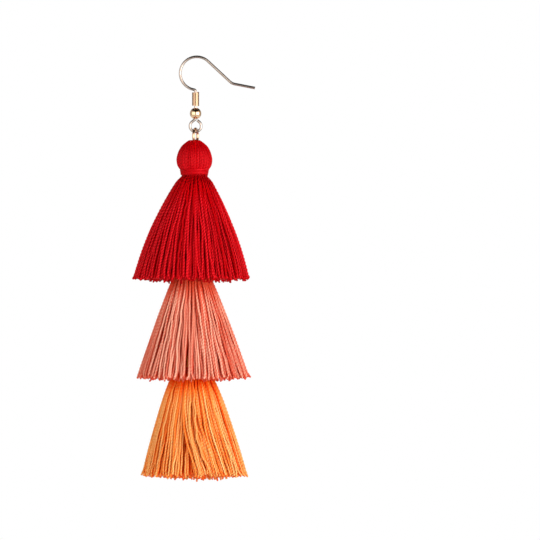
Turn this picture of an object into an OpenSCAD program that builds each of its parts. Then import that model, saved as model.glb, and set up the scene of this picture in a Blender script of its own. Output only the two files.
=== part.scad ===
// A long drop earring: a fish-hook ear wire with a coil, a ball and an eye, a jump ring,
// and three fringed tassels hung one below the other on a hidden cord.
// The origin is the middle of the wire at the top of its arch, where it passes through the ear.
// The hook lies in the XZ plane with its tail towards +X, and the drop hangs along -Z.

/* [Ear wire] */
// Thickness of the ear wire
wire_d = 0.7; // [0.6:0.05:0.8]
// Radius of the arch that passes through the ear, at the middle of the wire
arch_r = 4.3; // [3.8:0.1:5.5]
// Steepness of the straight slope behind the ear, in degrees below level
slope_angle = 43; // [35:1:50]
// Length of the slope, from the arch to the corner of the tail
slope_len = 8.5; // [7:0.1:11]
// Steepness of the tail, in degrees below level
tail_angle = 11; // [4:1:20]
// Length of the tail, from its corner to the blunt tip
tail_len = 6.1; // [5:0.1:8]
// Radius of the bend between the slope and the tail
tail_bend_r = 2.5; // [1.5:0.1:4]
// Radius of the tight bend where the arch turns down into the shank
shank_bend_r = 0.5; // [0.45:0.05:0.8]
// Distance of the shank from the top of the arch, towards the face
shank_back = 0.3; // [0.1:0.05:0.5]

/* [Coil and ball] */
// Thickness of the coil's wire
coil_wire_d = 0.38; // [0.3:0.02:0.5]
// Whole turns of the coil round the shank
coil_turns = 9; // [6:1:11]
// Clear space between the coil's turns
coil_turn_gap = 0.01; // [0.01:0.01:0.1]
// Clear space between the shank and the coil round it
coil_gap = 0.2; // [0.1:0.01:0.25]
// Diameter of the ball
ball_d = 3; // [2.6:0.1:4]
// Clear space between the shank and the wall of the ball's hole
ball_gap = 0.2; // [0.15:0.01:0.25]
// Bare shank between the coil and the ball
shank_bare = 0.3; // [0.2:0.05:1]

/* [Eye] */
// Radius of the round part of the eye, at the middle of the wire
eye_r = 1.45; // [1.3:0.05:1.8]
// Half the angle at the top of the eye, where its two legs spread
eye_angle = 52; // [48:1:55]
// Radius of the bend from the shank into the eye
eye_bend_r = 0.5; // [0.45:0.05:0.6]
// Height of the top of the eye above the foot of the ball
eye_nest = 0.04; // [0:0.01:0.06]
// Clear space between the cut end of the wire and the shank
eye_gap = 0.06; // [0.04:0.01:0.12]

/* [Jump ring] */
// Thickness of the jump ring's wire
ring_wire_d = 0.7; // [0.6:0.05:0.8]
// Radius of the jump ring, at the middle of the wire
ring_r = 1.85; // [1.7:0.05:2.2]
// Turn of the jump ring away from edge on, in degrees
ring_yaw = 16; // [5:1:25]
// Clear space between the jump ring and the eye that it hangs on
link_gap = 0.05; // [0.04:0.01:0.1]
// Width of the closed slit in the jump ring
ring_slit = 0.06; // [0.04:0.01:0.15]
// Place of the slit round the ring, in degrees up from level at the back
slit_angle = 40; // [20:1:55]

/* [Hanging cord] */
// Thickness of the looped cord on the jump ring
loop_cord_d = 0.5; // [0.4:0.05:0.6]
// Thickness of the doubled cord that runs down through the tassels
core_cord_d = 0.9; // [0.7:0.05:1]
// Diameter of the knots
knot_d = 2.3; // [2.2:0.05:2.5]
// Clear space between the cord and what holds it or hangs on it
cord_gap = 0.08; // [0.06:0.01:0.12]
// Clear space between the cord and the channel through a head and neck
channel_gap = 0.45; // [0.35:0.05:0.5]
// Depth of the ring's lowest point, at the middle of its wire, below the top of the head
ring_sink = 0.6; // [0.5:0.02:0.9]
// Depth of the first knot below the ring's lowest point
knot_fall = 1.7; // [1.6:0.1:2.2]

/* [Heads and bindings] */
// Largest radius of a tassel's head
head_r = 4.65; // [4.4:0.05:5.2]
// Height of a head, from its top to its binding
head_h = 7.2; // [6.4:0.1:8]
// Radius of the neck under its binding
neck_r = 3.2; // [3:0.05:3.4]
// Height of the wound binding
binding_h = 2; // [1.6:0.1:2.6]
// Outer radius of the binding at its top
binding_r = 3.9; // [3.7:0.05:4.1]
// Narrowing of the binding from its top to its foot
binding_taper = 0.25; // [0:0.05:0.3]
// Rounds of thread that show in the binding
binding_turns = 4; // [3:1:6]
// Depth of the grooves between the rounds
binding_groove = 0.12; // [0.05:0.01:0.2]
// Clear space round the binding
binding_gap = 0.08; // [0.05:0.01:0.12]

/* [Skirts] */
// Distance from one tassel's neck to the next
tier_pitch = 25; // [22:0.5:28]
// Length of a skirt, from its neck to the edge of its hem
skirt_h = 27.5; // [25:0.5:31]
// Radius of the first skirt at its hem
hem_r = 15.2; // [13:0.1:18]
// Radius at which a skirt leaves its binding
flare_r = 3.9; // [3.7:0.05:4.2]
// How much lower the middle of a hem hangs than its edge
hem_drop = 1.2; // [0.6:0.1:2]
// Sideways sway of the hanging tassels
sway = 1; // [0:0.1:1.5]
// Depth of the grooves between the locks at the hem
lock_depth = 0.9; // [0.4:0.1:1.4]
// Height by which a groove's end stops short at the hem
hem_notch = 0.7; // [0.2:0.1:1.2]
// Clear space between a skirt and the tassel that hangs inside it
nest_gap = 0.6; // [0.4:0.05:1]
// Locks of thread round a skirt
locks = 20; // [14:1:24]

/* [Hidden] */
$fn = 96;

metal = "#d9b38c";
red = "#c1121f";
coral = "#e8765c";
orange = "#ff8f32";

// Tiers, from the top. Columns: steps of pitch below the first neck, skirt length as a
// share of skirt_h, hem radius as a share of hem_r, power and belly of the outline, and
// the sway of the head and of the hem as shares of sway. A power under 1 opens the skirt
// sooner, and a belly swells its middle.
TIERS = [
    [0,     0.969, 1,     1,    0.46, -0.3, -1.18],
    [0.972, 1.016, 0.97,  0.87, 0,    -1,   -0.65],
    [1.996, 1.004, 0.912, 0.73, 0,    -1.1, -0.3],
];
FALL = 0;
LENGTH = 1;
HEM = 2;
POWER = 3;
BELLY = 4;
HEAD_SWAY = 5;
HEM_SWAY = 6;
last_tier = len(TIERS) - 1;

// Outline of a head. Columns: share of head_h down from its top, and share of head_r.
HEAD = [
    [0.012, 0.35],
    [0.046, 0.45],
    [0.118, 0.6],
    [0.19,  0.71],
    [0.265, 0.795],
    [0.4,   0.905],
    [0.55,  0.975],
    [0.66,  1],
    [0.77,  0.985],
    [0.88,  0.945],
    [1,     0.83],
];

// Shares of a skirt's length at which its sections lie
SKIRT_STEPS = [0.01, 0.06, 0.15, 0.28, 0.45, 0.64, 0.83, 1];

// Shares of the hem's width, from its edge inwards, at which its underside is set
HEM_STEPS = [0.08, 0.45, 0.8];

// Share of a skirt's length over which the grooves between its locks deepen
groove_run = 0.5;

// Outline of a skirt's hollow over the next head. Columns: share of head_h down from its top,
// and share of the hollow's radius.
HOLLOW = [
    [0.45, 1],
    [0.12, 0.8],
];

// Share of the next skirt's length at which the hollow widens, and the share of hem_drop by
// which its mouth hangs below the hem's edge
hollow_foot = 0.04;
mouth_drop = 0.8;

// Shares of a binding round's height between which its thread stands out
ROUND = [0.3, 0.7];

// Unevenness of the locks as a share of lock_depth, and the angle that spreads it round a skirt
unevenness = 0.25;
spread_angle = 137;

// Rise of the faint swellings where bends and straight wire meet
swelling = 0.01;

// Places down the shank and the drop, each from the one above it
wire_r = wire_d / 2;
shank_x = -shank_back;
shank_turn = asin((shank_bend_r + shank_back) / (arch_r + shank_bend_r));
arch_foot = [-arch_r * sin(shank_turn), -arch_r - arch_r * cos(shank_turn)];
shank_bend_at = arch_foot - shank_bend_r * [sin(shank_turn), cos(shank_turn)];
shank_top_z = shank_bend_at.y;
coil_pitch = coil_wire_d + coil_turn_gap;
coil_h = coil_turns * coil_pitch + coil_wire_d;
coil_r = wire_r + coil_gap + coil_wire_d / 2;
ball_z = shank_top_z - coil_h - shank_bare - ball_d / 2;
eye_top_z = ball_z - ball_d / 2 + eye_nest;
eye_z = eye_top_z - eye_r / sin(eye_angle);
eye_foot_z = eye_z - eye_r;
eye_leg = eye_r / tan(eye_angle);
ring_z = eye_foot_z + wire_r + link_gap + ring_wire_d / 2 - ring_r;
ring_foot_z = ring_z - ring_r;
first_head_z = ring_foot_z + ring_sink;
first_neck_z = first_head_z - head_h - binding_h;
loop_r = ring_wire_d / 2 + cord_gap + loop_cord_d / 2;
knot_z = ring_foot_z - knot_fall;
channel_r = core_cord_d / 2 + channel_gap;
well_r = knot_d / 2 + cord_gap;
well_foot_z = knot_z - knot_d / 2;

// Corner of the hook's tail, from the end of the arch down the slope
slope_start = arch_r * [cos(90 - slope_angle), sin(90 - slope_angle) - 1];
slope_dir = [cos(slope_angle), -sin(slope_angle)];
tail_dir = [cos(tail_angle), -sin(tail_angle)];
tail_corner = slope_start + slope_len * slope_dir;
tail_turn = slope_angle - tail_angle;
bend_leg = tail_bend_r * tan(tail_turn / 2);
tail_bend_at = tail_corner + bend_leg * tail_dir + tail_bend_r * [sin(tail_angle), cos(tail_angle)];

// Polar place of a lock's points, with a groove and two crests a lock
lock_points = 3;
columns = locks * lock_points;

// Half the ring's outer width where it enters the head
ring_half = sqrt(pow(ring_r + ring_wire_d / 2, 2) - pow(first_head_z - ring_z, 2));

// Rounding of a head's rim, and the thread beside the ring in it
rim_round = 0.12;
rim_wall = 0.4;

// Parts of a row of a tassel's skin
HALF_X = 0;
HALF_Y = 1;
HEIGHT = 2;
MIDDLE = 3;
GROOVE = 4;
NOTCH = 5;

function tier_x(t) = shank_x + sway * TIERS[t][HEAD_SWAY];
function hem_x(t) = shank_x + sway * TIERS[t][HEM_SWAY];
function neck_z(t) = first_neck_z - tier_pitch * TIERS[t][FALL];
function head_z(t) = neck_z(t) + binding_h + head_h;
function skirt_len(t) = skirt_h * TIERS[t][LENGTH];
function hem_z(t) = neck_z(t) - skirt_len(t);
function tier_hem_r(t) = hem_r * TIERS[t][HEM];

// How far a skirt has opened, and its radius and middle, at a share s of its length
function opening(t, s) = pow(s, TIERS[t][POWER]) * (1 + TIERS[t][BELLY] * (1 - s));
function skirt_r(t, s) = flare_r + (tier_hem_r(t) - flare_r) * opening(t, s);
function skirt_x(t, s) = tier_x(t) + (hem_x(t) - tier_x(t)) * opening(t, s);

function row(r, z, x, groove = 0, notch = 0) = [r, r, z, x, groove, notch];

// The way into a head from its top: a well for the ring and its cord, or a plain channel
function well_rows(t) = t == 0
    ? [row(channel_r, well_foot_z - knot_d / 4, tier_x(t)),
       row(well_r, well_foot_z, shank_x),
       row(well_r, ring_foot_z - ring_wire_d, shank_x),
       [well_r, ring_half + cord_gap, head_z(t) - ring_sink / 4, shank_x, 0, 0]]
    : [row(channel_r, head_z(t) - rim_round, tier_x(t))];

// Outline of a head, which the ring spreads front to back where it enters the first
function head_rows(t) =
    [for (h = HEAD)
        let (r = h[1] * head_r)
        [r, t == 0 ? max(r, ring_half + cord_gap + rim_wall) : r,
         head_z(t) - h[0] * head_h, tier_x(t), 0, 0]];

function neck_rows(t) =
    [row(neck_r, neck_z(t) + binding_h - binding_gap / 2, tier_x(t)),
     row(neck_r, neck_z(t), tier_x(t))];

function skirt_rows(t) =
    [for (s = SKIRT_STEPS)
        row(skirt_r(t, s), neck_z(t) - s * skirt_len(t), skirt_x(t, s),
            lock_depth * min(1, s / groove_run), s < 1 ? 0 : hem_notch)];

// Underside of the hem, which hangs lower towards its middle
function hem_inner_r(t) = t < last_tier
    ? skirt_r(t + 1, max(0, neck_z(t + 1) - hem_z(t) + hem_drop / 2) / skirt_len(t + 1)) + nest_gap
    : 0;
function hem_inner_x(t) = t < last_tier ? tier_x(t + 1) : hem_x(t);
function hem_rows(t) =
    [for (q = HEM_STEPS)
        let (r = tier_hem_r(t) + (hem_inner_r(t) - tier_hem_r(t)) * q,
             x = hem_x(t) + (hem_inner_x(t) - hem_x(t)) * q)
        row(r - lock_depth, hem_z(t) - hem_drop * (1 - pow(1 - q, 2)), x)];

// Hollow of a skirt round the next tassel, from the hem up to the channel in the neck
function hollow_rows(t) =
    let (n = t + 1,
         x = tier_x(n),
         r = head_r + nest_gap,
         neck = neck_z(n),
         top = head_z(n) + nest_gap,
         knot_room = well_r + cord_gap)
    [row(hem_inner_r(t), hem_z(t) - hem_drop * mouth_drop, x),
     row(max(r, skirt_r(n, hollow_foot) + nest_gap), neck - hollow_foot * skirt_len(n), x),
     each [for (h = HOLLOW) row(h[1] * r, top - h[0] * head_h, x)],
     row(knot_room, top, x),
     row(knot_room, shoulder_z(t) - rim_round, tier_x(t)),
     row(channel_r, shoulder_z(t), tier_x(t))];

// Shoulder inside a skirt that sits on a knot, and the knot under it
function shoulder_z(t) = neck_z(t) - rim_round;
function carry_knot(t) = [tier_x(t), 0, shoulder_z(t) - rim_round - cord_gap - knot_d / 2];

// Pushes a crest in or out a little, so that no two locks are alike
function uneven(lock) = unevenness * lock_depth * sin(spread_angle * lock);

function ring_of(r) =
    [for (j = [0 : columns - 1])
        let (lock = floor(j / lock_points),
             in_groove = j % lock_points == 0,
             swell = r[GROOVE] * (in_groove ? 1 + uneven(lock) : uneven(lock)),
             a = 360 * j / columns,
             u = (r[HALF_X] - swell) * cos(a),
             v = (r[HALF_Y] - swell) * sin(a))
        [r[MIDDLE] + u * cos(ring_yaw) + v * sin(ring_yaw),
         v * cos(ring_yaw) - u * sin(ring_yaw),
         r[HEIGHT] + (in_groove ? r[NOTCH] : 0)]];

// Two triangles for each step round the band between two rows
function band_faces(upper, lower) =
    [for (j = [0 : columns - 1])
        let (k = (j + 1) % columns)
        each [[upper + j, upper + k, lower + k], [upper + j, lower + k, lower + j]]];

// Skin that goes from the hollow through the well, over the head, down the skirt and under the hem
module ring_skin(rows) {
    points = [for (r = rows) each ring_of(r)];
    count = len(rows);
    polyhedron(points, [for (i = [0 : count - 1])
        each band_faces(i * columns, ((i + 1) % count) * columns)]);
}

// The same with no way through: it starts at a point in the channel and ends at one under the hem
module closed_skin(rows, first_point, last_point) {
    points = [for (r = rows) each ring_of(r)];
    count = len(rows);
    start = len(points);
    finish = start + 1;
    foot = (count - 1) * columns;
    polyhedron(concat(points, [first_point, last_point]),
        concat([for (i = [0 : count - 2]) each band_faces(i * columns, (i + 1) * columns)],
               [for (j = [0 : columns - 1]) [start, (j + 1) % columns, j]],
               [for (j = [0 : columns - 1]) [finish, foot + j, foot + (j + 1) % columns]]));
}

module tassel(t) {
    outer = concat(well_rows(t), head_rows(t), neck_rows(t), skirt_rows(t), hem_rows(t));
    if (t < last_tier)
        ring_skin(concat(outer, hollow_rows(t)));
    else {
        x = tier_x(t);
        foot_z = carry_knot(t).z - knot_d / 2;
        chamber = [row(well_r, foot_z, x), row(well_r, shoulder_z(t) - rim_round, x),
                   row(channel_r, shoulder_z(t), x)];
        closed_skin(concat(chamber, outer), [x, 0, foot_z - knot_d / 4],
                    [hem_x(t), 0, hem_z(t) - hem_drop]);
    }
}

// A band of wound thread round a neck
module binding(t) {
    round_h = (binding_h - 2 * binding_gap) / binding_turns;
    foot = neck_z(t) + binding_gap;
    inner = neck_r + binding_gap;
    ridges = [for (i = [0 : binding_turns - 1])
        let (r = binding_r - binding_taper * (1 - i / binding_turns))
        each [[r - binding_groove, foot + i * round_h], [r, foot + (i + ROUND[0]) * round_h],
              [r, foot + (i + ROUND[1]) * round_h]]];
    top = foot + binding_turns * round_h;
    translate([tier_x(t), 0, 0])
        rotate_extrude()
            polygon(concat([[inner, foot]], ridges, [[binding_r - binding_groove, top], [inner, top]]));
}

// Wire bent in the XZ plane round a centre, from one polar angle through a sweep
module bend(at, r, from, sweep) {
    translate([at.x, 0, at.y]) rotate([90, 0, 0]) rotate([0, 0, from])
        rotate_extrude(angle = sweep) translate([r, 0]) circle(d = wire_d);
}

// Straight wire in the XZ plane, from a point along a direction
module straight(at, dir, length) {
    translate([at.x, 0, at.y]) rotate([0, atan2(dir.x, dir.y), 0]) cylinder(d = wire_d, h = length);
}

// Faint swelling where a bend meets the next stretch, so that the wire is one solid
module meet(at) {
    translate([at.x, 0, at.y]) sphere(d = wire_d + 2 * swelling);
}

module ear_wire() color(metal) {
    tail_start = tail_corner + bend_leg * tail_dir;
    slope_end = tail_corner - bend_leg * slope_dir;
    straight(tail_start, tail_dir, tail_len - bend_leg);
    meet(tail_start);
    bend(tail_bend_at, tail_bend_r, 270 - slope_angle, tail_turn);
    meet(slope_end);
    straight(slope_start, slope_dir, slope_len - bend_leg);
    meet(slope_start);
    bend([0, -arch_r], arch_r, 90 - slope_angle, 180 + slope_angle - shank_turn);
    meet(arch_foot);
    bend(shank_bend_at, shank_bend_r, 0, 90 - shank_turn);
    meet([shank_x, shank_top_z]);
    eye();
}

// Shank and eye: the wire bends out of the ball, goes round and comes back to the shank
module eye() {
    bend_drop = eye_bend_r * tan(eye_angle / 2);
    bend_top_z = eye_top_z + bend_drop;
    left = [-sin(eye_angle), -cos(eye_angle)];
    right = [sin(eye_angle), -cos(eye_angle)];
    end_at = (wire_r * (1 + abs(cos(2 * eye_angle))) + eye_gap) / sin(2 * eye_angle);
    apex = [shank_x, eye_top_z];
    straight([shank_x, shank_top_z], [0, -1], shank_top_z - bend_top_z);
    meet([shank_x, bend_top_z]);
    bend([shank_x - eye_bend_r, bend_top_z], eye_bend_r, -eye_angle, eye_angle);
    meet(apex + bend_drop * left);
    straight(apex + bend_drop * left, left, eye_leg - bend_drop);
    meet(apex + eye_leg * left);
    bend([shank_x, eye_z], eye_r, 180 - eye_angle, 180 + 2 * eye_angle);
    meet(apex + eye_leg * right);
    straight(apex + eye_leg * right, -right, eye_leg - end_at);
}

// Coil of wire wound round the shank, as a tube with flat ends
module wire_coil() color(metal) {
    sides = 6;
    steps_a_turn = 20;
    steps = coil_turns * steps_a_turn;
    top_z = shank_top_z - coil_wire_d / 2;
    points = [for (i = [0 : steps], j = [0 : sides - 1])
        let (a = 360 * i / steps_a_turn,
             b = 360 * j / sides,
             r = coil_r + coil_wire_d / 2 * cos(b))
        [shank_x + r * cos(a), r * sin(a),
         top_z - coil_pitch * i / steps_a_turn + coil_wire_d / 2 * sin(b)]];
    walls = [for (i = [0 : steps - 1], j = [0 : sides - 1])
        let (k = (j + 1) % sides, here = i * sides, next = here + sides)
        each [[here + j, here + k, next + k], [here + j, next + k, next + j]]];
    ends = [[for (j = [sides - 1 : -1 : 0]) j], [for (j = [0 : sides - 1]) steps * sides + j]];
    polyhedron(points, concat(walls, ends));
}

// Ball with a plain hole, resting on the shoulders of the eye
module ball_bead() color(metal)
    translate([shank_x, 0, ball_z])
        difference() {
            sphere(d = ball_d);
            cylinder(d = wire_d + 2 * ball_gap, h = 2 * ball_d, center = true);
        }

// Ring through the eye, with its closed slit at the back
module jump_ring() color(metal) {
    slit = ring_slit / ring_r * 180 / PI;
    translate([shank_x, 0, ring_z]) rotate([0, 0, -ring_yaw]) rotate([90, 0, 90])
        rotate([0, 0, slit_angle + slit / 2])
            rotate_extrude(angle = 360 - slit) translate([ring_r, 0]) circle(d = ring_wire_d);
}

// Cord looped over the ring's foot, then straight down from knot to knot
module hanging_cord() color(red) {
    first_knot = [shank_x, 0, knot_z];
    knots = concat([first_knot], [for (t = [0 : last_tier]) carry_knot(t)]);
    translate([shank_x, 0, ring_foot_z]) rotate([0, 0, -ring_yaw]) {
        rotate([90, 0, 0])
            rotate_extrude(angle = 180) translate([loop_r, 0]) circle(d = loop_cord_d);
        for (side = [-1, 1])
            translate([side * loop_r, 0, -knot_fall]) cylinder(d = loop_cord_d, h = knot_fall);
    }
    for (k = knots)
        translate(k) sphere(d = knot_d);
    for (i = [1 : len(knots) - 1]) {
        run = knots[i] - knots[i - 1];
        translate(knots[i - 1]) rotate([0, atan2(run.x, run.z), 0])
            cylinder(d = core_cord_d, h = norm(run));
    }
}

module red_tassel() color(red) tassel(0);

module red_binding() color(red) binding(0);

module coral_tassel() color(coral) tassel(1);

module coral_binding() color(coral) binding(1);

module orange_tassel() color(orange) tassel(2);

module orange_binding() color(orange) binding(2);

ear_wire();
wire_coil();
ball_bead();
jump_ring();
hanging_cord();
red_tassel();
red_binding();
coral_tassel();
coral_binding();
orange_tassel();
orange_binding();
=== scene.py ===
"""Looks of the tassel earring: plated wirework and three tassels of lustrous twisted thread.

Lengths are in millimetres until a mesh is made. The earring hangs along -Z, the camera looks
along +Y, and angles round a tassel are measured from +X, so that its front is at -90 degrees.
"""

import logging
import math
from dataclasses import dataclass, field
from enum import Enum
from typing import Any

import bpy
import numpy as np
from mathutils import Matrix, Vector


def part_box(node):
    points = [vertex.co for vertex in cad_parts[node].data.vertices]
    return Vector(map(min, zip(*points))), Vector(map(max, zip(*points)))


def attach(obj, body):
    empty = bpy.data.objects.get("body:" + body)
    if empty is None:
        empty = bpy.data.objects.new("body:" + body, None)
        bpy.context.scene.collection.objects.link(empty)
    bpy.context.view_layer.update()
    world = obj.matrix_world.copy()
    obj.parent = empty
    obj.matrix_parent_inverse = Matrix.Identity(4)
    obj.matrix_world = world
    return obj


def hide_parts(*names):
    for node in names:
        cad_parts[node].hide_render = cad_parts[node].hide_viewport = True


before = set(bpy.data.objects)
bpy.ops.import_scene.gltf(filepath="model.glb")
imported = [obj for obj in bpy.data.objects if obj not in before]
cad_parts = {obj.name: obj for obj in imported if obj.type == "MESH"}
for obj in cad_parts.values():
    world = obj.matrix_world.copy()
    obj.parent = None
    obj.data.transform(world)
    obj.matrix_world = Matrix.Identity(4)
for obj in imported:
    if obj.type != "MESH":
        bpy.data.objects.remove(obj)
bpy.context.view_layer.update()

MM = 0.001
TURN = 2 * math.pi

# Radius of a tassel's threads, and length of a full twist of their two plies
THREAD_R = 0.3
TWIST_MM = 1.55
# Steps of this share of a whole give neighbours unlike values that still fill it evenly
GOLDEN_SHARE = 0.618034
# Steps that a smooth line takes from one of its points to the next
LINE_STEPS = 12
# Nearly all of a noise texture's values lie in this span
NOISE_SPAN = {"From Min": 0.3, "From Max": 0.7}

# The map laid out for baking, and the one that follows the plies of a thread
BAKE_UV = "OFBake"
THREAD_UV = "thread"
# Values of each vertex that the thread's material reads: tone with painted shade, and the painted highlight
# crest
SHADE = "shade"
CREST = "crest"
# Where a strand lies in its upright strip of the bake map, with its cut end below it
STRIP_MARGIN, STRIP_TOP, STRIP_FOOT = 0.06, 0.97, 0.03
CAP_EDGE, CAP_MIDDLE = 0.025, 0.004

# Radius and height, from its top, of a head: from the hole in its crown to under the binding
HEAD_OUTLINE = np.array([[1.0, -0.9], [1.1, -0.3], [1.4, 0.05], [1.95, -0.25], [2.75, -0.85],
                         [3.3, -1.37], [3.7, -1.9], [4.2, -2.88], [4.53, -3.96], [4.65, -4.75],
                         [4.58, -5.54], [4.4, -6.3], [3.95, -7.05], [3.5, -7.5], [3.2, -8.2]])
# The same of the plain dome under its threads
BACKING_OUTLINE = np.array([[1.2, -1.4], [1.9, -1.0], [3.2, -2.0], [4.0, -3.4], [4.2, -4.9],
                            [4.0, -6.3], [3.2, -7.5], [2.9, -9.4]])

log = logging.getLogger("earring")


def linear(hex_colour: str) -> tuple[float, float, float, float]:
    """Turn an sRGB hex colour into the linear values that a shader takes.

    Args:
        hex_colour: Colour such as "#c8001a".

    Returns:
        Linear red, green and blue, and 1 for alpha.
    """
    shares = [int(hex_colour[i:i + 2], 16) / 255 for i in (1, 3, 5)]
    straight = [s / 12.92 if s <= 0.04045 else ((s + 0.055) / 1.055) ** 2.4 for s in shares]
    return (*straight, 1.0)


def add_node(tree: bpy.types.NodeTree, kind: str, inputs: dict[str | int, Any] | None = None,
             **settings: Any) -> bpy.types.Node:
    """Add a shader node with its settings, its sockets' values and its links.

    Args:
        tree: Node tree that gets the node.
        kind: Node type, after the word ShaderNode.
        inputs: Value, output, or node to take the first output of, by the input's name or number.
        settings: Node properties by name.

    Returns:
        The new node.
    """
    node = tree.nodes.new(f"ShaderNode{kind}")
    for name, value in settings.items():
        setattr(node, name, value)
    for name, value in (inputs or {}).items():
        source = value.outputs[0] if isinstance(value, bpy.types.Node) else value
        if isinstance(source, bpy.types.NodeSocket):
            tree.links.new(source, node.inputs[name])
        else:
            node.inputs[name].default_value = source
    return node


def new_material(name: str) -> tuple[bpy.types.Material, bpy.types.NodeTree]:
    """Make an empty node material.

    Args:
        name: Material name.

    Returns:
        The material and its node tree.
    """
    material = bpy.data.materials.new(name)
    material.use_nodes = True
    material.node_tree.nodes.clear()
    return material, material.node_tree


@dataclass(frozen=True)
class TwistedThread:
    """Two-ply viscose thread, spun and dyed: a silky strand whose plies show as slanting beads of light,
    partly from their relief and partly painted highlights.

    Viscose has an IOR near 1.5. Its filaments lie along the plies, so the gloss is soft. They are
    about 0.02 mm thick, too fine to show, and are drawn as streaks ten times as coarse.
    """

    name: str
    # Colours: painted shade where least light reaches, painted light and shade between the strands, the
    # strands' own colour, and painted highlights on the plies' lit crowns
    shadow: str
    painted_gap: str
    body: str
    bright: str
    # Specular level, and contrast of the painted highlight and painted shade between a ply's crown and the
    # groove beside it
    gloss: float
    bead: float = 0.5
    # Tones at which the four colours lie
    stops: tuple[float, float, float, float] = (0.12, 0.28, 0.5, 1.0)
    # What a strand's shade, its painted highlight crest and the lightest streaks add to the tone
    shade_tone: float = 0.5
    crest_tone: float = 0.55
    streak_tone: float = 0.14
    roughness: tuple[float, float] = (0.34, 0.5)
    ior: float = 1.5
    # A streak is 0.2 mm wide and 1.3 mm long, and a whole number of them goes round
    streak_mm: float = 0.21
    streaks_a_twist: float = 1.2
    # The streaks' relief is a share of the plies'
    ply_relief_mm: float = 0.04
    streak_relief: float = 0.4
    relief_strength: float = 0.8

    def add_colour(self, tree: bpy.types.NodeTree, crown: bpy.types.Node,
                   fibres: bpy.types.Node) -> bpy.types.Node:
        """Add the colour, from the strand's random tone and painted shade, its painted highlight crest and
        its fibres.

        Args:
            tree: The material's node tree.
            crown: Node that gives 1 on the plies' crowns and 0 in their grooves.
            fibres: Noise of the streaks.

        Returns:
            Colour ramp from shadow to bright.
        """
        shade = add_node(tree, "Attribute", attribute_name=SHADE)
        crest = add_node(tree, "Attribute", attribute_name=CREST)
        # Painted highlight: beads of light on the plies' crowns along each strand's crest, with painted
        # shade in the grooves between them
        bead = add_node(tree, "Math", {0: crown, 1: self.bead, 2: self.crest_tone - self.bead / 2},
                        operation="MULTIPLY_ADD")
        ridge = add_node(tree, "Math", {0: bead, 1: crest.outputs["Fac"]}, operation="MULTIPLY")
        uneven = add_node(tree, "MapRange", {"Value": fibres, **NOISE_SPAN, "To Max": self.streak_tone})
        grain = add_node(tree, "Math", {0: uneven, 1: ridge}, operation="ADD")
        tone = add_node(tree, "Math", {0: shade.outputs["Fac"], 1: self.shade_tone, 2: grain},
                        operation="MULTIPLY_ADD")
        ramp = add_node(tree, "ValToRGB", {"Fac": tone})
        # Painted shade at the darkest stop, painted light and shade between the strands, painted highlight
        # at the brightest
        stops = ramp.color_ramp.elements
        stops[0].position, stops[0].color = self.stops[0], linear(self.shadow)
        stops[1].position, stops[1].color = self.stops[3], linear(self.bright)
        stops.new(self.stops[1]).color = linear(self.painted_gap)
        stops.new(self.stops[2]).color = linear(self.body)
        return ramp

    def make(self) -> bpy.types.Material:
        """Make the material.

        Returns:
            Material that reads the thread map and each strand's shade and crest.
        """
        material, tree = new_material(self.name)
        place = add_node(tree, "UVMap", uv_map=THREAD_UV)
        split = add_node(tree, "SeparateXYZ", {0: place})
        slant = add_node(tree, "Math", {0: split.outputs["X"], 1: split.outputs["Y"]},
                         operation="SUBTRACT")
        # Two plies make two crowns in every turn
        angle = add_node(tree, "Math", {0: slant, 1: 2 * TURN}, operation="MULTIPLY")
        wave = add_node(tree, "Math", {0: angle}, operation="COSINE")
        crown = add_node(tree, "MapRange", {"Value": wave, "From Min": -1.0})
        streaks_a_turn = float(round(TURN * THREAD_R / self.streak_mm))
        across = add_node(tree, "Math", {0: slant, 1: streaks_a_turn}, operation="MULTIPLY")
        along = add_node(tree, "Math", {0: split.outputs["Y"], 1: self.streaks_a_twist},
                         operation="MULTIPLY")
        lie = add_node(tree, "CombineXYZ", {0: across, 1: along})
        fibres = add_node(tree, "TexNoise", {"Vector": lie, "Scale": 1.0, "Detail": 2.0})
        colour = self.add_colour(tree, crown, fibres)
        rough = add_node(tree, "MapRange", {"Value": fibres, **NOISE_SPAN, "To Min": self.roughness[0],
                                            "To Max": self.roughness[1]})
        relief = add_node(tree, "Math", {0: fibres, 1: self.streak_relief, 2: crown},
                          operation="MULTIPLY_ADD")
        bump = add_node(tree, "Bump", {"Height": relief, "Distance": self.ply_relief_mm * MM,
                                       "Strength": self.relief_strength})
        shader = add_node(tree, "BsdfPrincipled",
                          {"Base Color": colour, "Roughness": rough, "IOR": self.ior,
                           "Specular IOR Level": self.gloss, "Normal": bump})
        add_node(tree, "OutputMaterial", {"Surface": shader})
        return material


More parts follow.
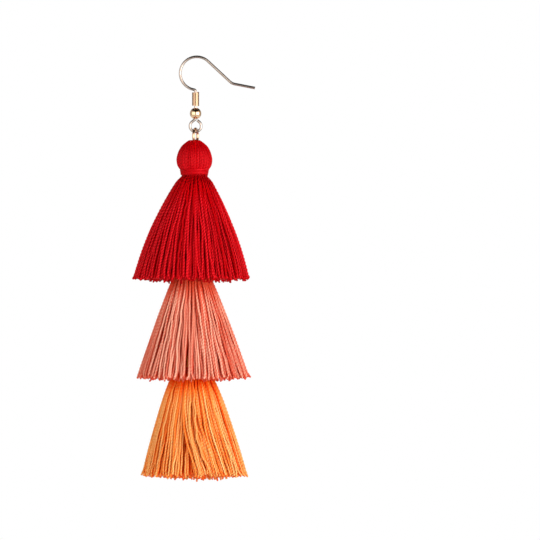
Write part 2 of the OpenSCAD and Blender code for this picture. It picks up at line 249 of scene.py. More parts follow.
@dataclass(frozen=True)
class GoldPlate:
    """Brass wire or ball, drawn or turned, tumbled and flash-plated pale gold: a near mirror.

    Tumbling leaves a faint unevenness that softens the reflections, and the thin plate varies a
    little in warmth. The marks are finer than 0.05 mm, too fine to show, and are drawn at 0.3 mm.
    """

    name: str
    # Colours of most of the plate, and of its warmer patches
    colour: str
    warm: str
    # Mean roughness, and the least and most as shares of it
    roughness: float
    rough_span: tuple[float, float] = (0.7, 1.4)
    patch_mm: float = 1.5
    scuff_mm: float = 0.3
    scuff_depth_mm: float = 0.001
    scuff_strength: float = 0.06

    def make(self) -> bpy.types.Material:
        """Make the material.

        Returns:
            Metal with drifting tint and a faint tumbled relief.
        """
        material, tree = new_material(self.name)
        place = add_node(tree, "TexCoord").outputs["Object"]
        patches, scuffs = [
            add_node(tree, "TexNoise", {"Vector": place, "Scale": 1 / (size * MM), "Detail": detail})
            for size, detail in ((self.patch_mm, 1.0), (self.scuff_mm, 3.0))]
        tint = add_node(tree, "ValToRGB", {"Fac": patches})
        stops = tint.color_ramp.elements
        stops[0].position, stops[0].color = NOISE_SPAN["From Min"], linear(self.warm)
        stops[1].position, stops[1].color = NOISE_SPAN["From Max"], linear(self.colour)
        least, most = [share * self.roughness for share in self.rough_span]
        rough = add_node(tree, "MapRange", {"Value": scuffs, **NOISE_SPAN, "To Min": least, "To Max": most})
        bump = add_node(tree, "Bump", {"Height": scuffs, "Distance": self.scuff_depth_mm * MM,
                                       "Strength": self.scuff_strength})
        shader = add_node(tree, "BsdfPrincipled", {"Base Color": tint, "Metallic": 1.0,
                                                   "Roughness": rough, "Normal": bump})
        add_node(tree, "OutputMaterial", {"Surface": shader})
        return material


@dataclass(frozen=True)
class MattCard:
    """White card, calendered and uncoated: a matt sheet that throws back a soft, even light.

    The tooth of its fibres is about 0.1 mm, too fine to show, and is drawn at 2.5 mm.
    """

    name: str = "matt_white_card"
    colour: str = "#f4f3f1"
    roughness: float = 0.8
    tooth_mm: float = 2.5
    tooth_depth_mm: float = 0.05
    tooth_strength: float = 0.3

    def make(self) -> bpy.types.Material:
        """Make the material.

        Returns:
            Pale matt material.
        """
        material, tree = new_material(self.name)
        place = add_node(tree, "TexCoord").outputs["Object"]
        tooth = add_node(tree, "TexNoise", {"Vector": place, "Scale": 1 / (self.tooth_mm * MM)})
        bump = add_node(tree, "Bump", {"Height": tooth, "Distance": self.tooth_depth_mm * MM,
                                       "Strength": self.tooth_strength})
        shader = add_node(tree, "BsdfPrincipled", {"Base Color": linear(self.colour),
                                                   "Roughness": self.roughness, "Normal": bump})
        add_node(tree, "OutputMaterial", {"Surface": shader})
        return material


class Thread(Enum):
    """Dyed threads of the three tassels."""

    # Painted light: the red is painted stronger between the strands than on them, for the light that goes
    # from strand to strand, and its plies carry painted highlights as rows of small lights
    RED = TwistedThread("red_viscose_thread", shadow="#840004", painted_gap="#c60007", body="#a20006",
                        bright="#e41a26", gloss=0.035, bead=1.25)
    # The paler threads carry a warmer, stronger painted shade between the strands, and a pale painted
    # highlight on the crowns
    CORAL = TwistedThread("coral_viscose_thread", shadow="#e0341e", painted_gap="#e4462a", body="#d8624a",
                          bright="#fcbca2", gloss=0.1)
    ORANGE = TwistedThread("orange_viscose_thread", shadow="#f83400", painted_gap="#fc5408", body="#f28832",
                           bright="#fccc84", gloss=0.1)


class Metal(Enum):
    """Plated metals of the wirework."""

    # So thin a flash of gold that it looks nearly silver
    WIRE = GoldPlate("pale_gold_plated_wire", "#b4a9a2", "#aa9c92", 0.12)
    RING = GoldPlate("gold_plated_ring", "#deb89a", "#d4a888", 0.12)
    COIL = GoldPlate("gold_plated_coil", "#caa88a", "#c09c7c", 0.14)
    # Polished before it was plated, so that it mirrors the room most sharply
    BALL = GoldPlate("gold_plated_ball", "#f0ceaa", "#e8c49c", 0.04)


def ease(value: np.ndarray) -> np.ndarray:
    """Smooth step from 0 to 1 of a value that is held between them."""
    held = np.clip(value, 0, 1)
    return held * held * (3 - 2 * held)


def smooth_line(points: np.ndarray, count: int) -> np.ndarray:
    """Lay a smooth line through points, evenly stepped.

    Args:
        points: Points of any number of coordinates.
        count: Points wanted on the line.

    Returns:
        Points of the line.
    """
    padded = np.concatenate([2 * points[:1] - points[1:2], points, 2 * points[-1:] - points[-2:-1]])
    t = np.linspace(0, 1, LINE_STEPS, endpoint=False)[:, None]
    pieces = []
    for i in range(len(points) - 1):
        a, b, c, d = padded[i:i + 4]
        bend = 2 * a - 5 * b + 4 * c - d
        pieces.append(b + 0.5 * t * (c - a + t * (bend + t * (3 * (b - c) + d - a))))
    fine = np.concatenate([*pieces, points[-1:]])
    run = np.concatenate([[0], np.cumsum(np.linalg.norm(np.diff(fine, axis=0), axis=1))])
    want = np.linspace(0, run[-1], count)
    return np.stack([np.interp(want, run, fine[:, k]) for k in range(points.shape[1])], axis=-1)


@dataclass
class Strands:
    """Threads or wires laid along paths, kept as arrays until they are joined into one mesh.

    Attributes:
        paths: Middles of the strands, as strand, ring and coordinate.
        outward: One direction for each strand that its first side faces.
        radius: Mean radius of a strand.
        sides: Sides of its section.
        shades: How light each strand is, about 0 to 1, as strand and ring: its random tone with painted
            shade.
        ply_rise: How far a ply's crown stands above the mean radius.
        twist_mm: Length of one full twist where the section isn't modelled with plies.
        rings_a_twist: Rings in one full twist where it is, or else 0.
        crest: Height of the painted highlight crest along the side that faces outward, as strand and ring.
        seed: Seed of where each strand's twist starts and how tight it is.
        squash: Thickness along the outward direction as a share of that across it.
        squareness: Power of the section, below 1 for a wire that is pressed flat.
        closed: Whether the start shows, and is drawn in.
        flank: Share by which painted shade darkens the sides.
    """

    paths: np.ndarray
    outward: np.ndarray
    radius: float
    sides: int
    shades: np.ndarray
    ply_rise: float = 0.0
    twist_mm: float = TWIST_MM
    rings_a_twist: float = 0.0
    crest: np.ndarray | float = 0.0
    seed: int = 0
    squash: float = 1.0
    squareness: float = 1.0
    closed: bool = False
    flank: float = 0.0
    # A cut end's radius as a share of the strand's, its painted highlight crest, and the radius of a closed
    # start
    end_share: float = 0.75
    end_crest: float = 0.3
    point_r: float = 0.01
    start: np.ndarray = field(init=False)
    rate: np.ndarray = field(init=False)

    def __post_init__(self) -> None:
        """Draw where each strand's twist starts and how tight it is."""
        rng = np.random.default_rng(self.seed)
        self.start = rng.uniform(0, 1, (len(self.paths), 1))
        self.rate = rng.uniform(0.9, 1.1, (len(self.paths), 1))

    def corners(self) -> np.ndarray:
        """Work out the skin's points.

        Returns:
            Array of strand, ring, side and coordinate.
        """
        along = np.gradient(self.paths, axis=1)
        along /= np.linalg.norm(along, axis=2, keepdims=True)
        first = np.repeat(self.outward[:, None, :], self.paths.shape[1], axis=1)
        first = first - along * np.sum(first * along, axis=2, keepdims=True)
        first /= np.linalg.norm(first, axis=2, keepdims=True)
        second = np.cross(along, first)
        turn = np.arange(self.sides) / self.sides
        reach = np.full((*self.paths.shape[:2], self.sides), self.radius)
        if self.rings_a_twist:
            reach = reach + self.ply_rise * np.cos(2 * TURN * (turn - self.twist()[:, :, None]))
        reach[:, -1] *= self.end_share
        if self.closed:
            reach[:, 0] = self.point_r
        up, across = [np.sign(c) * np.abs(c) ** self.squareness
                      for c in (np.cos(turn * TURN), np.sin(turn * TURN))]
        return (self.paths[:, :, None, :]
                + (reach * up * self.squash)[..., None] * first[:, :, None, :]
                + (reach * across)[..., None] * second[:, :, None, :])

    def twist(self) -> np.ndarray:
        """Count the twists that each strand has made.

        Returns:
            Twists at each ring, as strand and ring.
        """
        if self.rings_a_twist:
            return self.start + self.rate * np.arange(self.paths.shape[1]) / self.rings_a_twist
        step = np.linalg.norm(np.diff(self.paths, axis=1), axis=2)
        run = np.concatenate([np.zeros((len(step), 1)), np.cumsum(step, axis=1)], axis=1)
        return self.start + run / self.twist_mm

    def facing(self) -> np.ndarray:
        """How squarely each side faces outward, from 0 to 1."""
        return np.maximum(0, np.cos(np.arange(self.sides) / self.sides * TURN))

    def crests(self) -> np.ndarray:
        """How far each corner is up the strand's painted highlight crest, from 0 to 1, as strand, ring and
        side.
        """
        return np.broadcast_to(self.crest, self.paths.shape[:2])[:, :, None] * self.facing() ** 2

    def tones(self) -> np.ndarray:
        """Shade of each corner, with painted shade darkening the sides that lie between the strands."""
        return self.shades[:, :, None] * (1 - self.flank + self.flank * self.facing())


@dataclass
class Dome(Strands):
    """A surface of revolution, made as one upright strand whose radius follows a profile."""

    profile: np.ndarray = field(default_factory=lambda: np.ones(1))

    def corners(self) -> np.ndarray:
        """Work out the skin's points.

        Returns:
            Array of strand, ring, side and coordinate.
        """
        angle = np.arange(self.sides) / self.sides * TURN
        ring = np.stack([np.cos(angle), np.sin(angle), np.zeros(self.sides)], axis=-1)
        return self.paths[:, :, None, :] + self.profile[None, :, None, None] * ring[None, None]


def lay_faces(left: np.ndarray, right: np.ndarray, upper: np.ndarray, lower: np.ndarray) -> np.ndarray:
    """Lay the faces along the strands on a map.

    Args:
        left: Where each side starts across the map.
        right: Where it ends.
        upper: Where each ring starts along the map.
        lower: Where it ends.

    Returns:
        Array of strand, ring, side, corner of the face and coordinate.
    """
    left, right, upper, lower = np.broadcast_arrays(left, right, upper, lower)
    pairs = ((left, upper), (right, upper), (right, lower), (left, lower))
    return np.stack([np.stack(pair, axis=-1) for pair in pairs], axis=-2)


@dataclass
class MeshParts:
    """Arrays of one mesh while its bundles of strands are joined.

    Attributes:
        points: Vertices of each bundle.
        corners: Vertex numbers round the faces of each bundle.
        sizes: Corners of each face.
        bake: Places of the corners in the map laid out for baking.
        thread: Places of the corners on the thread, as turns round it and twists along it.
        shades: Shade of each vertex, its tone with painted shade.
        crests: Height of each vertex up its strand's painted highlight crest.
        count: Vertices so far.
    """

    points: list[np.ndarray] = field(default_factory=list)
    corners: list[np.ndarray] = field(default_factory=list)
    sizes: list[np.ndarray] = field(default_factory=list)
    bake: list[np.ndarray] = field(default_factory=list)
    thread: list[np.ndarray] = field(default_factory=list)
    shades: list[np.ndarray] = field(default_factory=list)
    crests: list[np.ndarray] = field(default_factory=list)
    count: int = 0

    def add(self, strands: Strands, first_strip: int, strips: int) -> None:
        """Add a bundle of strands, each with its own upright strip of the bake map.

        Args:
            strands: The bundle.
            first_strip: Number of the bundle's first strip.
            strips: Strips in the whole map.
        """
        skin = strands.corners()
        n, rings, sides, _ = skin.shape
        number = np.arange(n * rings * sides).reshape(n, rings, sides) + self.count
        end_number = np.arange(n) + self.count + number.size
        beside = np.roll(number, -1, axis=2)
        quads = np.stack([number[:, :-1], beside[:, :-1], beside[:, 1:], number[:, 1:]], axis=-1)
        caps = np.stack([number[:, -1], beside[:, -1],
                         np.broadcast_to(end_number[:, None], (n, sides))], axis=-1)
        self.points += [skin.reshape(-1, 3), strands.paths[:, -1]]
        self.corners += [quads.reshape(-1), caps.reshape(-1)]
        self.sizes += [np.full(quads.size // 4, 4), np.full(caps.size // 3, 3)]
        self.shades += [strands.tones().reshape(-1), strands.shades[:, -1]]
        self.crests += [strands.crests().reshape(-1), np.full(n, strands.end_crest)]
        self.count += number.size + n
        self.add_maps(strands, (first_strip + np.arange(n))[:, None, None], strips)

    def add_maps(self, strands: Strands, strip: np.ndarray, strips: int) -> None:
        """Add a bundle's places in the bake map and on the thread.

        Args:
            strands: The bundle.
            strip: Number of each strand's strip, which also sets its fibres apart on the thread.
            strips: Strips in the whole map.
        """
        twist = strands.twist()[:, :, None]
        n, rings, _ = twist.shape
        ring, side = np.arange(rings)[None, :, None] / (rings - 1), np.arange(strands.sides)[None, None, :]
        starts, ends = [(side + k) / strands.sides for k in (0, 1)]
        width, height = 1 - 2 * STRIP_MARGIN, STRIP_TOP - (STRIP_TOP - STRIP_FOOT) * ring
        left, right = [(strip + STRIP_MARGIN + width * turn) / strips for turn in (starts, ends)]
        walls = lay_faces(left, right, height[:, :-1], height[:, 1:])
        middle = (strip[:, 0] + 0.5) / strips
        caps = np.stack([np.stack(np.broadcast_arrays(*pair), axis=-1) for pair in
                         ((left[:, 0], CAP_EDGE), (right[:, 0], CAP_EDGE),
                          (np.broadcast_to(middle, left[:, 0].shape), CAP_MIDDLE))], axis=-2)
        self.bake += [walls.reshape(-1, 2), caps.reshape(-1, 2)]
        walls = lay_faces(strip + starts, strip + ends, twist[:, :-1], twist[:, 1:])
        caps = walls[:, -1][:, :, [3, 2, 2]]
        self.thread += [walls.reshape(-1, 2), caps.reshape(-1, 2)]

    def make(self, name: str) -> bpy.types.Object:
        """Make the object, with its maps and shades.

        Args:
            name: Piece name.

        Returns:
            The object, in the earring's frame and in metres.
        """
        mesh = bpy.data.meshes.new(name)
        points = np.concatenate(self.points) * MM
        corners = np.concatenate(self.corners)
        sizes = np.concatenate(self.sizes)
        mesh.vertices.add(len(points))
        mesh.vertices.foreach_set("co", points.astype(np.float32).ravel())
        mesh.loops.add(len(corners))
        mesh.loops.foreach_set("vertex_index", corners.astype(np.int32))
        mesh.polygons.add(len(sizes))
        mesh.polygons.foreach_set("loop_start", (np.cumsum(sizes) - sizes).astype(np.int32))
        mesh.polygons.foreach_set("use_smooth", np.ones(len(sizes), bool))
        mesh.update(calc_edges=True)
        for map_name, places in ((BAKE_UV, self.bake), (THREAD_UV, self.thread)):
            layer = mesh.uv_layers.new(name=map_name)
            layer.data.foreach_set("uv", np.concatenate(places).astype(np.float32).ravel())
        for values_name, values in ((SHADE, self.shades), (CREST, self.crests)):
            attribute = mesh.attributes.new(values_name, "FLOAT", "POINT")
            attribute.data.foreach_set("value", np.concatenate(values).astype(np.float32))
        mesh.validate()
        obj = bpy.data.objects.new(name, mesh)
        bpy.context.scene.collection.objects.link(obj)
        return obj


def join_strands(name: str, bundles: list[Strands]) -> bpy.types.Object:
    """Join bundles of strands into one object.

    Args:
        name: Piece name.
        bundles: The bundles.

    Returns:
        The object.
    """
    strips = sum(len(b.paths) for b in bundles)
    parts, first = MeshParts(), 0
    for bundle in bundles:
        parts.add(bundle, first, strips)
        first += len(bundle.paths)
    return parts.make(name)


def dress(obj: bpy.types.Object, material: bpy.types.Material) -> None:
    """Give an object one material on all its faces.

    Args:
        obj: The object.
        material: The material.
    """
    if obj.material_slots:
        for slot in obj.material_slots:
            slot.material = material
    else:
        obj.data.materials.append(material)


@dataclass(frozen=True)
class Span:
    """A stretch along a strand, from where something starts to show over so much of it."""

    start: float
    over: float

    def reached(self, place: np.ndarray) -> np.ndarray:
        """How far it has set in at places along a strand, from 0 to 1."""
        return ease((place - self.start) / self.over)


@dataclass(frozen=True)
class Habit:
    """How the strands of a skirt lie, in millimetres and in shares of its length or their spacing."""

    # Most that they start off their even places and ranks, and the spread of their lengths
    jitter: float = 0.18
    rank_jitter: float = 0.04
    length_spread: float = 0.01
    # They start above the neck's foot, and come out from under the binding
    tucked: float = 0.035
    tuck: Span = Span(0.0, 0.07)
    # Above this share of the length they go in under the neck, over so much of it and so deep
    neck_edge: float = 0.015
    neck_blend: float = 0.05
    neck_depth: float = 0.1
    # Room opens beside each one towards the hem, and one that has none sinks and gives way
    hem_room: float = 0.42
    opening: Span = Span(0.0, 0.7)
    rank_blend: float = 0.12
    sink: float = 0.6
    squeeze: float = 1.4
    # They wander little at the neck and more towards the hem, and the inner ones less
    calm: float = 0.12
    loose: float = 0.3
    inner_loose: float = 0.55
    # Share and most waves of that in and out, most waves of it to the sides, and small kinks
    out_share: float = 0.15
    out_waves: float = 2.2
    side_waves: float = 1.6
    kink: float = 0.1
    kink_waves: float = 9.0
    # Least radius at which a drift to the side is turned into an angle
    least_r: float = 1.5
    # A few outer ones cross their neighbours, on top of them
    stray_share: float = 0.07
    stray_mm: tuple[float, float] = (1.0, 2.4)
    stray: Span = Span(0.2, 0.8)
    stray_lift: float = 0.3
    lift: Span = Span(0.15, 0.25)
    # The outer ones draw together in locks, of which the first is at this angle, in degrees
    locks: int = 20
    first_lock: float = -16.0
    lock_pull: float = 0.22
    locking: Span = Span(0.1, 0.9)
    # Degrees that a parting sweeps them aside, and how many degrees away the sweep ends
    part_sweep: float = 21.0
    part_reach: float = 107.0
    parted: Span = Span(0.32, 0.75)
    part_power: float = 1.2
    # The ends flick in and out, and to the sides in radians
    flick_share: float = 0.06
    flick_out: float = 0.2
    flick_turn: float = 0.02


@dataclass(frozen=True)
class Lighting:
    """How light the strands of a skirt are, in tones from 0 to 1: their random tone, painted shade and
    painted highlight crests.
    """

    # Painted shade under the binding: what is left of the light there, how far it has come back where the
    # skirt starts, and the share of the skirt over which it comes back
    dim: float = 0.1
    dim_start: float = 0.05
    dim_share: float = 0.36
    # Random spread from strand to strand, painted shade on one that sinks, and slow change along each
    spread: float = 0.3
    sunk_loss: float = 0.3
    wave: float = 0.06
    waves: float = 5.0
    least: float = 0.35
    # Painted highlight crests: of a layer without tone, what its tone adds, and least and most share of a
    # strand
    crest_base: float = 0.25
    crest_gain: float = 0.65
    crest_span: tuple[float, float] = (0.35, 1.3)
    # Share by which painted shade darkens a strand's sides, between it and its neighbours
    flank: float = 0.3

    def lit(self, s: np.ndarray) -> np.ndarray:
        """How much of the light reaches shares s of the skirt's length, as painted shade under the binding.
        """
        back = ease(self.dim_start + (1 - self.dim_start) * s / self.dim_share)
        return self.dim + (1 - self.dim) * back


@dataclass(frozen=True)
class Head:
    """How the threads of a head are laid over its crown, in millimetres."""

    threads: int = 84
    rings: int = 44
    sides: int = 6
    thread_r: float = 0.26
    # Most that they start off their even places, as a share of their spacing
    jitter: float = 0.15
    # Room that each takes, and how one that has none at the crown sinks
    room: float = 0.48
    rank_blend: float = 0.1
    sink: float = 0.07
    squeeze: float = 0.2
    # Size and most waves of their wander in and out, and to the sides, and the least radius at
    # which that to the sides is turned into an angle
    out: tuple[float, float] = (0.04, 1.5)
    aside: tuple[float, float] = (0.14, 1.4)
    least_r: float = 1.2
    # How far up the sides with their painted highlights lean
    tilt: float = 0.35
    # Their tones, with painted shade at the crown, where less light falls, and their painted highlights
    # left out there
    tone: float = 0.95
    spread: float = 0.14
    most: float = 1.1
    crown_share: float = 0.82
    crest: float = 0.22
    below_crown: Span = Span(0.6, 3.4)
    # Rings, sides and tone of the dome under them, whose low tone is painted shade
    dome_rings: int = 20
    dome_sides: int = 40
    dome_tone: float = 0.3


@dataclass(frozen=True)
class Winding:
    """How the one thread of a binding is wound, in millimetres."""

    turns: int = 4
    steps_a_turn: int = 72
    sides: int = 8
    twist_mm: float = 6.0
    # The binding is narrower at its foot
    taper: float = 0.25
    # The thread's radius is a little over half the pitch, so that each turn presses on the next
    thick_share: float = 0.53
    # The thread's middle starts and ends this share of its radius inside the binding's ends
    edge: float = 0.9
    # Tone, and the painted highlight that every other turn gains where it catches the light, to the right
    # of its front
    tone: float = 0.95
    catch: float = 0.35
    catch_angle: float = -62.0
    catch_power: int = 6


@dataclass(frozen=True)
class Layer:
    """One layer of a skirt's strands.

    Attributes:
        share: Radius as a share of the outer layer's.
        depth: Depth below that, in millimetres.
        count: Strands round the skirt.
        tone: Mean shade of its strands, a painted light and shade set by how much light reaches its depth.
        sides: Sides of a strand.
        rings: Rings along a strand.
    """

    share: float
    depth: float
    count: int
    tone: float
    sides: int = 5
    rings: int = 20


@dataclass
class Tassel:
    """One tassel: head, wound binding and fringed skirt, sized from its CAD nodes.

    Attributes:
        colour: Name of the tassel's colour, which starts its nodes' names.
        thread: Its thread.
        power: Power of the skirt's outline, which opens sooner the smaller it is.
        belly: Belly of the skirt's outline.
        hem_shift: Sideways place of the hem from the neck.
        seed: Seed of its unevenness.
        inner: Layers of strands inside the outer one.
        parting: Angle of a parting in the front strands, in degrees, or None.
        head: How its head is laid.
    """

    colour: str
    thread: Thread
    power: float
    belly: float
    hem_shift: float
    seed: int
    inner: list[Layer]
    parting: float | None = None
    head: Head = Head()
    outer: Layer = Layer(1.0, 0.0, 84, 0.8, sides=6, rings=124)
    habit: Habit = Habit()
    lighting: Lighting = Lighting()
    # How far a ply's crown stands above an outer strand's mean radius, and rings in a twist
    ply_rise: float = 0.07
    rings_a_twist: float = 7.3
    # Radius of the skirt where it starts to open, tucked in under the binding, and of the neck
    flare_r: float = 3.9
    tuck_r: float = 3.4
    neck_r: float = 3.2
    # How far strands stand out beyond the hem's radius, and single ones hang below it
    unevenness: float = 0.11
    hem_drop: float = 1.2
    # How much the painted highlight crests turn to the front and the back
    crest_turn: float = 3.0
    # How far the neck ends below the binding's foot
    binding_gap: float = 0.08
    winding: Winding = Winding()
    # Random draws of the piece in hand, and places and sizes from the CAD nodes
    rng: np.random.Generator = field(init=False)
    neck: np.ndarray = field(init=False)
    head_top: float = field(init=False)
    hem_z: float = field(init=False)
    hem_r: float = field(init=False)
    binding_top: float = field(init=False)
    binding_r: float = field(init=False)

    def __post_init__(self) -> None:
        """Take the tassel's places from its CAD nodes."""
        low, high = [np.array(c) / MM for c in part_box(f"{self.colour}_tassel")]
        band_low, band_high = [np.array(c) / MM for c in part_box(f"{self.colour}_binding")]
        middle = (band_low + band_high) / 2
        self.neck = np.array([middle[0], 0.0, band_low[2] - self.binding_gap])
        self.head_top = high[2]
        self.hem_z = low[2] + self.hem_drop
        self.hem_r = (high[0] - low[0]) / 2 - self.unevenness
        self.binding_top = band_high[2]
        self.binding_r = (band_high[0] - band_low[0]) / 2

    @property
    def skirt_h(self) -> float:
        """Length of the skirt, from its neck to its hem's edge."""
        return self.neck[2] - self.hem_z

    def opening(self, s: np.ndarray) -> np.ndarray:
        """How far the skirt has opened at shares s of its length, from 0 to 1."""
        held = np.maximum(s, 0)
        return held ** self.power * (1 + self.belly * (1 - held))

    def skirt_r(self, s: np.ndarray) -> np.ndarray:
        """Outer radius of the skirt at shares s of its length, tucked in under the binding."""
        tuck = (self.flare_r - self.tuck_r) * (1 - self.habit.tuck.reached(s))
        return self.flare_r + (self.hem_r - self.flare_r) * self.opening(s) - tuck

    def wander(self, s: np.ndarray, waves: float) -> np.ndarray:
        """Work out slow random waves along strands, about 1 high.

        Args:
            s: Shares of the strands' length, as strand and ring.
            waves: Most waves along a strand.

        Returns:
            Offsets as strand and ring.
        """
        total = np.zeros_like(s)
        for k in (1, 2, 3):
            phase = self.rng.uniform(0, TURN, (len(s), 1))
            size = self.rng.normal(0, 1 / k, (len(s), 1))
            total += size * np.sin(TURN * waves * k / 3 * s + phase)
        # Spreads of 1, a half and a third come to about 1.2 together
        return total / 1.2

    def crowd(self, layer: Layer, rank: np.ndarray, s: np.ndarray) -> tuple[np.ndarray, np.ndarray]:
        """Lay strands at the skirt's radius, and sink those that have no room beside the others.

        Args:
            layer: The layer.
            rank: Rank of each strand, from 0 to 1, of which the highest give way first.
            s: Shares of the skirt's length, as strand and ring.

        Returns:
            Radius of the strands' middles, and how far each has given way, from 0 to 1.
        """
        habit = self.habit
        radius = layer.share * (self.skirt_r(s) - (THREAD_R + self.ply_rise)) - layer.depth
        room = 2 * THREAD_R + habit.hem_room * habit.opening.reached(s)
        lack = rank - TURN * radius / (room * layer.count)
        sunk = ease(lack / habit.rank_blend + 0.5)
        radius = radius - habit.sink * sunk - habit.squeeze * np.maximum(0, lack)
        under = ease((habit.neck_edge - s) / habit.neck_blend)
        in_neck = np.minimum(radius, self.neck_r - habit.neck_depth)
        return radius * (1 - under) + in_neck * under, sunk

    def loosen(self, layer: Layer, radius: np.ndarray, s: np.ndarray) -> tuple[np.ndarray, np.ndarray]:
        """Let the strands wander, and a few outer ones cross their neighbours.

        Args:
            layer: The layer.
            radius: Radius of the strands' middles.
            s: Shares of the skirt's length, as strand and ring.

        Returns:
            Radius of the strands' middles, and their drift to the side.
        """
        n, habit, on_top = layer.count, self.habit, layer is self.outer
        loose = (habit.calm + habit.loose * ease(s)) * (1 if on_top else habit.inner_loose)
        radius = radius + habit.out_share * loose * self.wander(s, habit.out_waves)
        drift = loose * self.wander(s, habit.side_waves) + habit.kink * self.wander(s, habit.kink_waves)
        strays = self.rng.uniform(0, 1, n) < habit.stray_share * on_top
        crossing = np.where(strays, self.rng.choice([-1, 1], n), 0)
        drift += (crossing * self.rng.uniform(*habit.stray_mm, n))[:, None] * habit.stray.reached(s)
        radius += (np.abs(crossing) * habit.stray_lift)[:, None] * habit.lift.reached(s)
        return radius, drift

    def gather(self, turn: np.ndarray) -> np.ndarray:
        """Pull strands towards the middle of their lock, each lock by its own strength.

        Args:
            turn: Angles of the strands, as strand and ring.

        Returns:
            Change of angle, of the same shape.
        """
        locks = self.habit.locks
        place = (turn - math.radians(self.habit.first_lock)) * locks / TURN
        lock = np.floor(place[:, :1]).astype(int)
        strength = self.rng.uniform(0, self.habit.lock_pull, locks)[lock % locks]
        return strength * (0.5 - (place - lock)) * TURN / locks

    def part(self, angle: np.ndarray) -> np.ndarray:
        """Sweep the front strands away from the parting, towards +X.

        Args:
            angle: Angles of the strands.

        Returns:
            Sweep of each strand at the hem, in radians.
        """
        past = (angle - math.radians(self.parting) + math.pi) % TURN - math.pi
        reach = math.radians(self.habit.part_reach)
        sweep = math.radians(self.habit.part_sweep) * (1 - past / reach)
        return np.where((past > 0) & (past < reach), sweep, 0)

    def shade(self, layer: Layer, sunk: np.ndarray, s: np.ndarray) -> tuple[np.ndarray, np.ndarray]:
        """Settle each strand's random tone and painted shade, and how high its painted highlight crest.

        Args:
            layer: The layer.
            sunk: How far each strand has given way, as strand and ring.
            s: Shares of the skirt's length, as strand and ring.

        Returns:
            Shades and crests, as strand and ring.
        """
        lighting, one_each = self.lighting, (layer.count, 1)
        loss = lighting.sunk_loss * sunk
        shades = layer.tone + self.rng.normal(0, lighting.spread, one_each) - loss
        shades = shades + lighting.wave * self.wander(s, lighting.waves)
        shades = np.clip(shades, lighting.least, 1) * lighting.lit(s)
        crest = np.clip(lighting.crest_base + lighting.crest_gain * layer.tone - loss, 0, 1)
        return shades, crest * lighting.lit(s) * self.rng.uniform(*lighting.crest_span, one_each)

    def lay(self, layer: Layer) -> Strands:
        """Lay one layer of the skirt.

        Args:
            layer: The layer.

        Returns:
            The layer's strands, of which only the outer ones are modelled with their plies.
        """
        n, habit, rng, on_top = layer.count, self.habit, self.rng, layer is self.outer
        index = np.arange(n)
        angle = TURN * (index + rng.uniform(-habit.jitter, habit.jitter, n)) / n
        rank = (index * GOLDEN_SHARE + rng.uniform(0, habit.rank_jitter, n))[:, None] % 1.0
        # Strands nearer the middle hang lower, which crowns the underside of the skirt
        crown = (1 - layer.share ** 2) * self.hem_drop / self.skirt_h
        reach = (1 + rng.normal(0, habit.length_spread, n) + crown + habit.tucked)[:, None]
        s = -habit.tucked + reach * np.linspace(0, 1, layer.rings)[None, :]
        radius, sunk = self.crowd(layer, rank, s)
        radius, drift = self.loosen(layer, radius, s)
        turn = angle[:, None] + drift / np.maximum(radius, habit.least_r)
        if on_top:
            turn += self.gather(turn) * habit.locking.reached(s)
        # A parting goes through the outer strands and the layer right behind them
        if self.parting is not None and layer.share == 1 and layer.depth < 1:
            turn += self.part(angle)[:, None] * habit.parted.reached(s) ** habit.part_power
        flick = np.maximum(0, (s - (1 - habit.flick_share)) / habit.flick_share) ** 2
        radius += habit.flick_out * rng.normal(0.2, 1, n)[:, None] * flick
        turn += habit.flick_turn * rng.normal(0, 1, n)[:, None] * flick
        middle = self.neck[0] + self.hem_shift * np.clip(self.opening(s), 0, 1)
        paths = np.stack([middle + radius * np.cos(turn), radius * np.sin(turn),
                          self.neck[2] - s * self.skirt_h], axis=-1)
        # The painted highlight crest faces outward, turned towards the front and the back
        outward = np.stack([np.cos(angle), self.crest_turn * np.sin(angle), np.zeros(n)], axis=-1)
        shades, crest = self.shade(layer, sunk, s)
        return Strands(paths, outward, THREAD_R, layer.sides, shades, self.ply_rise,
                       rings_a_twist=self.rings_a_twist if on_top else 0, crest=crest,
                       seed=self.seed + n, flank=self.lighting.flank)

    def build_skirt(self) -> list[bpy.types.Object]:
        """Build the skirt's outer strands and the layers inside them.

        Returns:
            The two pieces, of which the first takes the place of the CAD tassel, which is hidden.
        """
        self.rng = np.random.default_rng(self.seed)
        outer = join_strands(f"{self.colour}_fringe", [self.lay(self.outer)])
        inside = join_strands(f"{self.colour}_fringe_inside", [self.lay(layer) for layer in self.inner])
        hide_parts(f"{self.colour}_tassel")
        return [outer, inside]

    def build_head(self) -> bpy.types.Object:
        """Build the head from threads folded over its top and down under the binding.

        Returns:
            The head.
        """
        head, n = self.head, self.head.threads
        # Its draws are apart from the skirt's
        self.rng = np.random.default_rng(self.seed + 100)
        line_r, line_z = smooth_line(HEAD_OUTLINE, head.rings).T
        index = np.arange(n)
        angle = TURN * (index + self.rng.uniform(-head.jitter, head.jitter, n)) / n
        rank = (index * GOLDEN_SHARE)[:, None] % 1.0
        lack = np.maximum(0, rank - TURN * line_r / (head.room * n))
        radius = line_r - head.thread_r - head.sink * ease(lack / head.rank_blend) - head.squeeze * lack
        s = np.linspace(0, 1, head.rings) * np.ones((n, 1))
        radius = radius + head.out[0] * self.wander(s, head.out[1])
        drift = head.aside[0] * self.wander(s, head.aside[1])
        turn = angle[:, None] + drift / np.maximum(radius, head.least_r)
        paths = np.stack([self.neck[0] + radius * np.cos(turn), radius * np.sin(turn),
                          self.head_top + line_z - head.squeeze * lack], axis=-1)
        outward = np.stack([np.cos(angle), np.sin(angle), np.full(n, head.tilt)], axis=-1)
